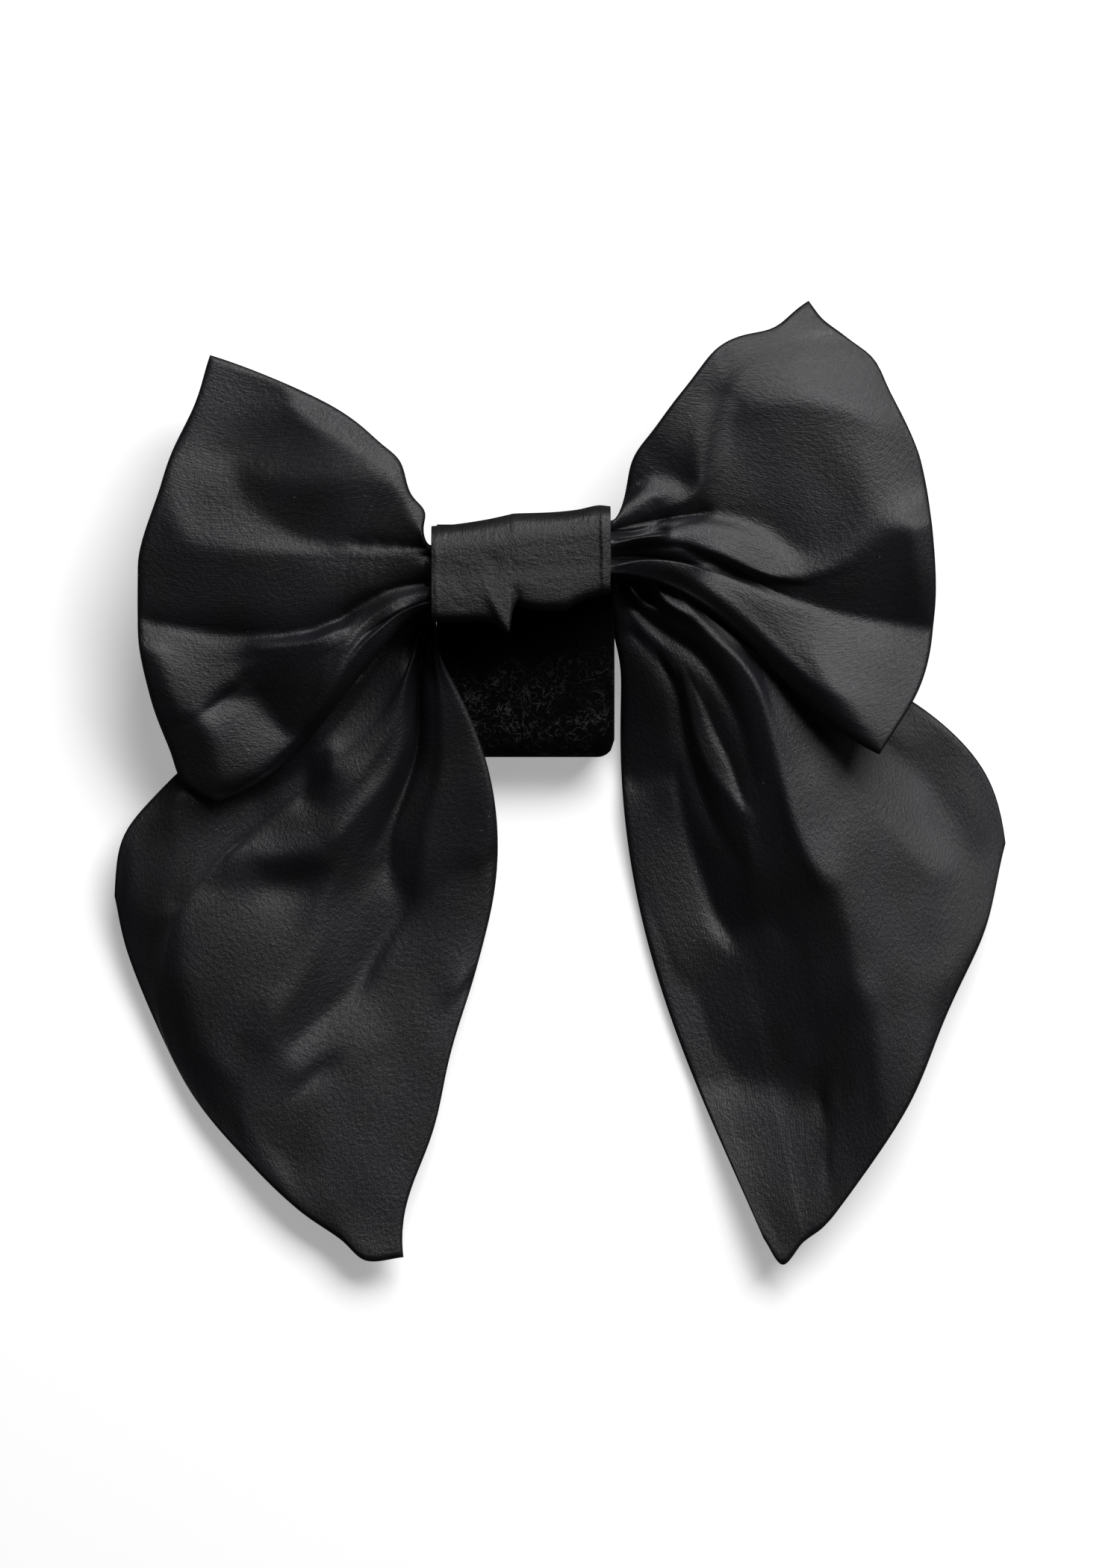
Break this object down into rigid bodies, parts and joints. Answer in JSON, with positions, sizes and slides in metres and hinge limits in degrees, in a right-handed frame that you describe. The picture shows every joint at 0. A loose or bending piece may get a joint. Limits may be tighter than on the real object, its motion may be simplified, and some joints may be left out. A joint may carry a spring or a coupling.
{
  "type": "dog bow",
  "caption": "Satin sailor bow for a dog's collar: two gathered loops and two tails in a centre wrap, on a hook-and-loop collar strap.",
  "frame": {"origin": "middle of the bow's footprint, on the surface that it lies on", "axes": "+X along the knot from the left loop to the right loop, +Y from the tails up to the loops, +Z out of the bow's front"},
  "size_m": [0.1256, 0.1356, 0.0212],
  "materials": {
    "satin": "black polyester satin, soft sheen",
    "wrap_satin": "black polyester satin, soft sheen",
    "loop_tape": "black brushed loop pile, matt",
    "hook_tape": "black woven hook tape, dull"
  },
  "bodies": {
    "root": {"bow_panel": "satin", "tail_panel": "satin", "centre_wrap": "wrap_satin", "collar_strap": "loop_tape", "hook_tab": "hook_tape"}
  },
  "joints": []
}
